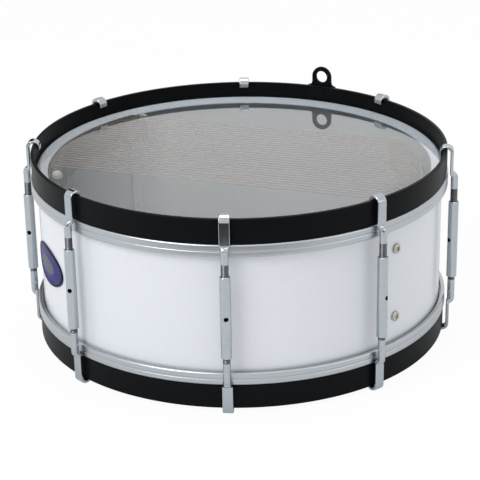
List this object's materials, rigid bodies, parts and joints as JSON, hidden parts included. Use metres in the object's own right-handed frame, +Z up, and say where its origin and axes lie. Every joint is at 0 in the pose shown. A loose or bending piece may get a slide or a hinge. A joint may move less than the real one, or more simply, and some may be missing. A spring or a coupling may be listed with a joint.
{
  "type": "snare drum",
  "caption": "Shallow round snare drum with clear heads, black counter hoops, hook rods with tube nuts, a strap ear and an inner snare.",
  "frame": {"origin": "on the drum's axis, in the plane of the floor under the bends of the lower hooks", "axes": "+Z up along the drum's axis; -Y is the side that faces the viewer"},
  "size_m": [0.3855, 0.386, 0.1882],
  "materials": {
    "white_enamel": "smooth white gloss enamel",
    "black_enamel": "semi-gloss black powder coat",
    "ring_aluminium": "satin drawn aluminium",
    "clear_film": "clear polyester film",
    "rod_chrome": "bright chrome plate over forged steel",
    "badge_enamel": "glossy blue-violet oval, blank",
    "snare_cord": "translucent beige gut-like cord",
    "rail_plastic": "beige moulded plastic",
    "inner_steel": "dull zinc-plated sheet",
    "screw_nickel": "nickel-plated pan heads",
    "post_rubber": "dark moulded rubber",
    "cap_cream": "cream domed cap"
  },
  "bodies": {
    "drum": {"shell": "white_enamel", "top_counter_hoop": "black_enamel", "bottom_counter_hoop": "black_enamel", "strap_ear": "black_enamel", "top_flesh_hoop": "ring_aluminium", "bottom_flesh_hoop": "ring_aluminium", "top_head_film": "clear_film", "bottom_head_film": "clear_film", "badge": "badge_enamel", "snare_cord": "snare_cord", "right_rail": "rail_plastic", "left_rail": "rail_plastic", "right_clamp_strip": "inner_steel", "left_clamp_strip": "inner_steel", "right_bracket_front": "inner_steel", "right_bracket_rear": "inner_steel", "left_bracket_front": "inner_steel", "left_bracket_rear": "inner_steel", "bracket_screw_front_upper": "screw_nickel", "bracket_screw_front_lower": "screw_nickel", "bracket_screw_rear_upper": "screw_nickel", "bracket_screw_rear_lower": "screw_nickel", "left_post_front": "post_rubber", "left_post_rear": "post_rubber", "left_post_cap_front": "cap_cream", "left_post_cap_rear": "cap_cream"},
    "front_nut": {"front_tube_nut": "rod_chrome"},
    "front_upper": {"front_upper_hook": "rod_chrome"},
    "front_lower": {"front_lower_hook": "rod_chrome"},
    "front_right_nut": {"front_right_tube_nut": "rod_chrome"},
    "front_right_upper": {"front_right_upper_hook": "rod_chrome"},
    "front_right_lower": {"front_right_lower_hook": "rod_chrome"},
    "right_nut": {"right_tube_nut": "rod_chrome"},
    "right_upper": {"right_upper_hook": "rod_chrome"},
    "right_lower": {"right_lower_hook": "rod_chrome"},
    "rear_right_nut": {"rear_right_tube_nut": "rod_chrome"},
    "rear_right_upper": {"rear_right_upper_hook": "rod_chrome"},
    "rear_right_lower": {"rear_right_lower_hook": "rod_chrome"},
    "rear_nut": {"rear_tube_nut": "rod_chrome"},
    "rear_upper": {"rear_upper_hook": "rod_chrome"},
    "rear_lower": {"rear_lower_hook": "rod_chrome"},
    "rear_left_nut": {"rear_left_tube_nut": "rod_chrome"},
    "rear_left_upper": {"rear_left_upper_hook": "rod_chrome"},
    "rear_left_lower": {"rear_left_lower_hook": "rod_chrome"},
    "left_nut": {"left_tube_nut": "rod_chrome"},
    "left_upper": {"left_upper_hook": "rod_chrome"},
    "left_lower": {"left_lower_hook": "rod_chrome"},
    "front_left_nut": {"front_left_tube_nut": "rod_chrome"},
    "front_left_upper": {"front_left_upper_hook": "rod_chrome"},
    "front_left_lower": {"front_left_lower_hook": "rod_chrome"}
  },
  "joints": [
    {"name": "front_nut_turn", "type": "hinge", "parent": "drum", "child": "front_nut", "pos_m": [0.00165, -0.18859, 0.08685], "axis": [0, 0, 1], "range_deg": [0, 2160]},
    {"name": "front_upper_slide", "type": "slide", "parent": "drum", "child": "front_upper", "axis": [0, 0, 1], "range_m": [0, 0.006]},
    {"name": "front_lower_slide", "type": "slide", "parent": "drum", "child": "front_lower", "axis": [0, 0, -1], "range_m": [0, 0.006]},
    {"name": "front_right_nut_turn", "type": "hinge", "parent": "drum", "child": "front_right_nut", "pos_m": [0.12571, -0.1406, 0.08685], "axis": [0, 0, 1], "range_deg": [0, 2160]},
    {"name": "front_right_upper_slide", "type": "slide", "parent": "drum", "child": "front_right_upper", "axis": [0, 0, 1], "range_m": [0, 0.006]},
    {"name": "front_right_lower_slide", "type": "slide", "parent": "drum", "child": "front_right_lower", "axis": [0, 0, -1], "range_m": [0, 0.006]},
    {"name": "right_nut_turn", "type": "hinge", "parent": "drum", "child": "right_nut", "pos_m": [0.18802, -0.0148, 0.08685], "axis": [0, 0, 1], "range_deg": [0, 2160]},
    {"name": "right_upper_slide", "type": "slide", "parent": "drum", "child": "right_upper", "axis": [0, 0, 1], "range_m": [0, 0.006]},
    {"name": "right_lower_slide", "type": "slide", "parent": "drum", "child": "right_lower", "axis": [0, 0, -1], "range_m": [0, 0.006]},
    {"name": "rear_right_nut_turn", "type": "hinge", "parent": "drum", "child": "rear_right_nut", "pos_m": [0.13101, 0.13567, 0.08685], "axis": [0, 0, 1], "range_deg": [0, 2160]},
    {"name": "rear_right_upper_slide", "type": "slide", "parent": "drum", "child": "rear_right_upper", "axis": [0, 0, 1], "range_m": [0, 0.006]},
    {"name": "rear_right_lower_slide", "type": "slide", "parent": "drum", "child": "rear_right_lower", "axis": [0, 0, -1], "range_m": [0, 0.006]},
    {"name": "rear_nut_turn", "type": "hinge", "parent": "drum", "child": "rear_nut", "pos_m": [-0.00823, 0.18842, 0.08685], "axis": [0, 0, 1], "range_deg": [0, 2160]},
    {"name": "rear_upper_slide", "type": "slide", "parent": "drum", "child": "rear_upper", "axis": [0, 0, 1], "range_m": [0, 0.006]},
    {"name": "rear_lower_slide", "type": "slide", "parent": "drum", "child": "rear_lower", "axis": [0, 0, -1], "range_m": [0, 0.006]},
    {"name": "rear_left_nut_turn", "type": "hinge", "parent": "drum", "child": "rear_left_nut", "pos_m": [-0.14636, 0.11894, 0.08685], "axis": [0, 0, 1], "range_deg": [0, 2160]},
    {"name": "rear_left_upper_slide", "type": "slide", "parent": "drum", "child": "rear_left_upper", "axis": [0, 0, 1], "range_m": [0, 0.006]},
    {"name": "rear_left_lower_slide", "type": "slide", "parent": "drum", "child": "rear_left_lower", "axis": [0, 0, -1], "range_m": [0, 0.006]},
    {"name": "left_nut_turn", "type": "hinge", "parent": "drum", "child": "left_nut", "pos_m": [-0.18842, -0.00823, 0.08685], "axis": [0, 0, 1], "range_deg": [0, 2160]},
    {"name": "left_upper_slide", "type": "slide", "parent": "drum", "child": "left_upper", "axis": [0, 0, 1], "range_m": [0, 0.006]},
    {"name": "left_lower_slide", "type": "slide", "parent": "drum", "child": "left_lower", "axis": [0, 0, -1], "range_m": [0, 0.006]},
    {"name": "front_left_nut_turn", "type": "hinge", "parent": "drum", "child": "front_left_nut", "pos_m": [-0.13054, -0.13612, 0.08685], "axis": [0, 0, 1], "range_deg": [0, 2160]},
    {"name": "front_left_upper_slide", "type": "slide", "parent": "drum", "child": "front_left_upper", "axis": [0, 0, 1], "range_m": [0, 0.006]},
    {"name": "front_left_lower_slide", "type": "slide", "parent": "drum", "child": "front_left_lower", "axis": [0, 0, -1], "range_m": [0, 0.006]}
  ],
  "couplings": [
    {"joint": "front_upper_slide", "follows": "front_nut_turn", "m_per_rad": 0.00015915},
    {"joint": "front_lower_slide", "follows": "front_nut_turn", "m_per_rad": 0.00015915},
    {"joint": "front_right_upper_slide", "follows": "front_right_nut_turn", "m_per_rad": 0.00015915},
    {"joint": "front_right_lower_slide", "follows": "front_right_nut_turn", "m_per_rad": 0.00015915},
    {"joint": "right_upper_slide", "follows": "right_nut_turn", "m_per_rad": 0.00015915},
    {"joint": "right_lower_slide", "follows": "right_nut_turn", "m_per_rad": 0.00015915},
    {"joint": "rear_right_upper_slide", "follows": "rear_right_nut_turn", "m_per_rad": 0.00015915},
    {"joint": "rear_right_lower_slide", "follows": "rear_right_nut_turn", "m_per_rad": 0.00015915},
    {"joint": "rear_upper_slide", "follows": "rear_nut_turn", "m_per_rad": 0.00015915},
    {"joint": "rear_lower_slide", "follows": "rear_nut_turn", "m_per_rad": 0.00015915},
    {"joint": "rear_left_upper_slide", "follows": "rear_left_nut_turn", "m_per_rad": 0.00015915},
    {"joint": "rear_left_lower_slide", "follows": "rear_left_nut_turn", "m_per_rad": 0.00015915},
    {"joint": "left_upper_slide", "follows": "left_nut_turn", "m_per_rad": 0.00015915},
    {"joint": "left_lower_slide", "follows": "left_nut_turn", "m_per_rad": 0.00015915},
    {"joint": "front_left_upper_slide", "follows": "front_left_nut_turn", "m_per_rad": 0.00015915},
    {"joint": "front_left_lower_slide", "follows": "front_left_nut_turn", "m_per_rad": 0.00015915}
  ]
}
